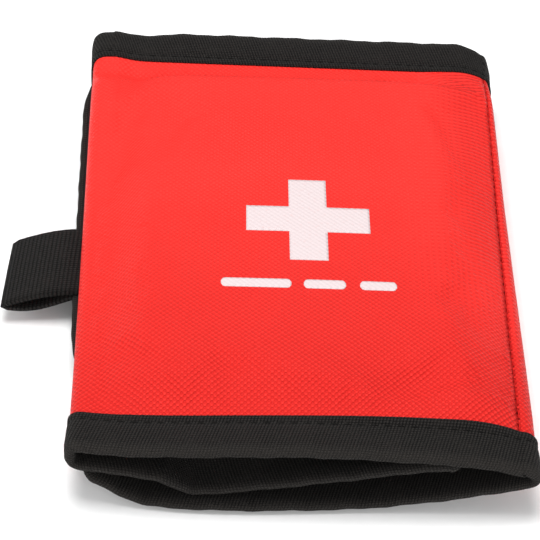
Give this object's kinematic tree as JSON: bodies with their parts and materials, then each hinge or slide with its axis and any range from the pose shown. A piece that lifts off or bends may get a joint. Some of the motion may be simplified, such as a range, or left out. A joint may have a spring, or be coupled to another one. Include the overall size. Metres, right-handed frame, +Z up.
{
  "type": "first aid kit",
  "caption": "Small soft first aid kit: a red woven pouch folded in three, black tape round its rims, a printed cross, a pull loop, clear pockets and basic supplies inside.",
  "frame": {"origin": "centre of the closed pouch on the underside of the closing flap, where it lies on a table", "axes": "+X towards the fold between the closing flap and the cover, +Y along that fold to the far edge, +Z up out of the cover"},
  "size_m": [0.1293, 0.16, 0.0251],
  "materials": {
    "red_oxford": "coarse plain weave, coated back",
    "lining_fabric": "fine plain weave",
    "black_tape": "ribbed grosgrain",
    "black_webbing": "ribbed webbing",
    "clear_film": "clear soft film",
    "hook_tape": "hook tape",
    "loop_tape": "brushed loop tape",
    "white_ink": "screen print",
    "steel": "satin",
    "red_plastic": "moulded",
    "paper": "uncoated paper",
    "foil_sachet": "paper and foil sachet",
    "gauze": "open gauze",
    "wrapped_cloth": "cotton in a thin wrap",
    "silver_foil": "metallised film, folded",
    "clear_bag": "folded gloves in a thin bag"
  },
  "bodies": {
    "closing_flap": {"flap_outer": "red_oxford", "flap_lining": "lining_fabric", "flap_clear_pocket": "clear_film", "flap_pocket_trim": "black_tape", "flap_near_binding": "black_tape", "flap_far_binding": "black_tape", "flap_end_binding": "black_tape", "hook_strip": "hook_tape", "pull_loop": "black_webbing", "adhesive_plasters": "paper", "alcohol_wipes": "foil_sachet", "right_fold_outer": "red_oxford", "right_fold_lining": "lining_fabric", "right_fold_near_binding": "black_tape", "right_fold_far_binding": "black_tape"},
    "cover": {"cover_outer": "red_oxford", "cover_lining": "lining_fabric", "cover_clear_pocket": "clear_film", "cover_pocket_trim": "black_tape", "cover_near_binding": "black_tape", "cover_far_binding": "black_tape", "printed_cross": "white_ink", "printed_bars": "white_ink", "gauze_bandage": "gauze", "triangular_bandage": "wrapped_cloth", "foil_blanket": "silver_foil", "gauze_pads": "paper", "gloves_pack": "clear_bag", "left_fold_outer": "red_oxford", "left_fold_lining": "lining_fabric", "left_fold_near_binding": "black_tape", "left_fold_far_binding": "black_tape"},
    "inner_flap": {"inner_outer": "red_oxford", "inner_lining": "lining_fabric", "inner_clear_pocket": "clear_film", "inner_pocket_trim": "black_tape", "inner_near_binding": "black_tape", "inner_far_binding": "black_tape", "inner_end_binding": "black_tape", "loop_strip": "loop_tape", "tweezers": "steel", "safety_pins": "steel", "leaflet": "paper", "scissors_lower_blade": "steel", "scissors_lower_handle": "red_plastic", "scissors_rivet": "steel"},
    "scissors_upper_half": {"scissors_upper_blade": "steel", "scissors_upper_handle": "red_plastic"}
  },
  "joints": [
    {"name": "cover_fold", "type": "hinge", "parent": "closing_flap", "child": "cover", "pos_m": [0.055, 0, 0.0128], "axis": [0, 1, 0], "range_deg": [0, 180], "deforming": ["right_fold_outer", "right_fold_lining", "right_fold_near_binding", "right_fold_far_binding"]},
    {"name": "inner_flap_fold", "type": "hinge", "parent": "cover", "child": "inner_flap", "pos_m": [-0.0535, 0, 0.0124], "axis": [0, 1, 0], "range_deg": [0, 45], "deforming": ["left_fold_outer", "left_fold_lining", "left_fold_near_binding", "left_fold_far_binding"]},
    {"name": "scissors_pivot", "type": "hinge", "parent": "inner_flap", "child": "scissors_upper_half", "pos_m": [-0.02, 0.014, 0.0102], "axis": [0, 0, 1], "range_deg": [0, 30]}
  ],
  "couplings": [
    {"joint": "inner_flap_fold", "follows": "cover_fold", "ratio": 0.25}
  ]
}
